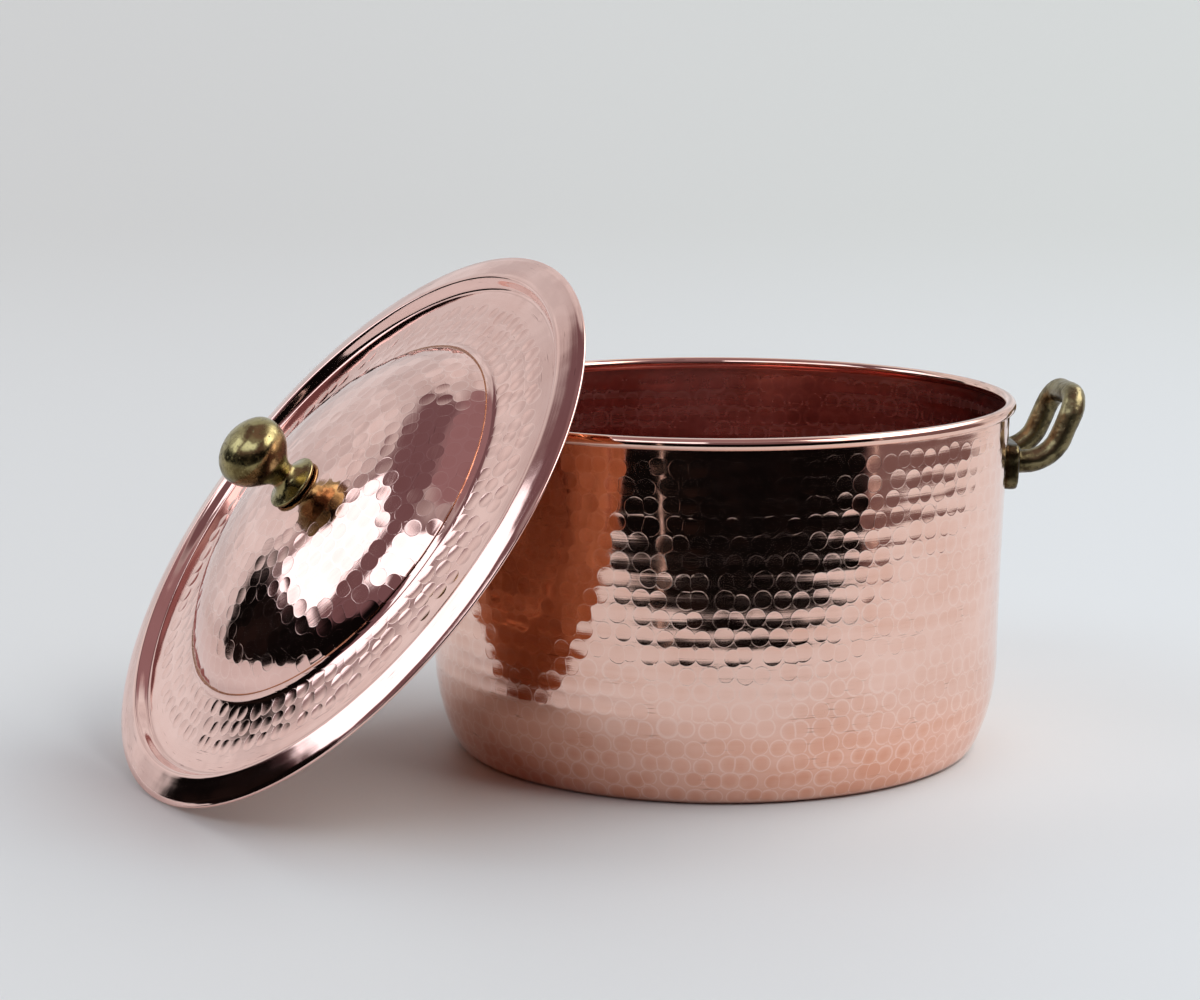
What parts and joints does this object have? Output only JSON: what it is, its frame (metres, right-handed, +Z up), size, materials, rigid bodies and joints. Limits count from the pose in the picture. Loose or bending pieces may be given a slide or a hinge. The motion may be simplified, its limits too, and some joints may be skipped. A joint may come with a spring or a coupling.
{
  "type": "lidded copper stock pot",
  "caption": "Deep hammered copper stock pot with a rolled rim and cast brass loop handles, with its flanged, domed lid and ball knob leaning beside it.",
  "frame": {"origin": "centre of the flat underside of the pot, on the surface it stands on", "axes": "+Z up, out of the pot's mouth; X through both handles, with the lid leaning on the -X side; -Y towards the side that the lid's knob turns to"},
  "size_m": [0.4252, 0.2964, 0.215],
  "materials": {
    "pot_copper": "hand-hammered and polished copper sheet",
    "lid_copper": "hammered and polished copper sheet with a plain burnished flange",
    "rivet_copper": "hammered copper, slightly dull",
    "handle_brass": "aged cast brass with fine pits and dark patina",
    "knob_brass": "aged cast brass with fine pits and dark patina",
    "screw_brass": "turned brass",
    "rim_wire_steel": "plain drawn wire, hidden inside the rim"
  },
  "bodies": {
    "pot": {"pot_body": "pot_copper", "rim_wire": "rim_wire_steel", "handle_right": "handle_brass", "handle_left": "handle_brass", "rivet_right_front": "rivet_copper", "rivet_right_rear": "rivet_copper", "rivet_left_front": "rivet_copper", "rivet_left_rear": "rivet_copper"},
    "lid": {"lid_shell": "lid_copper", "lid_knob": "knob_brass", "knob_washer": "screw_brass", "knob_screw": "screw_brass"}
  },
  "joints": [
    {"name": "lid_lift", "type": "slide", "parent": "pot", "child": "lid", "axis": [-0.7328, -0.2452, 0.6347], "range_m": [0, 0.2]}
  ]
}
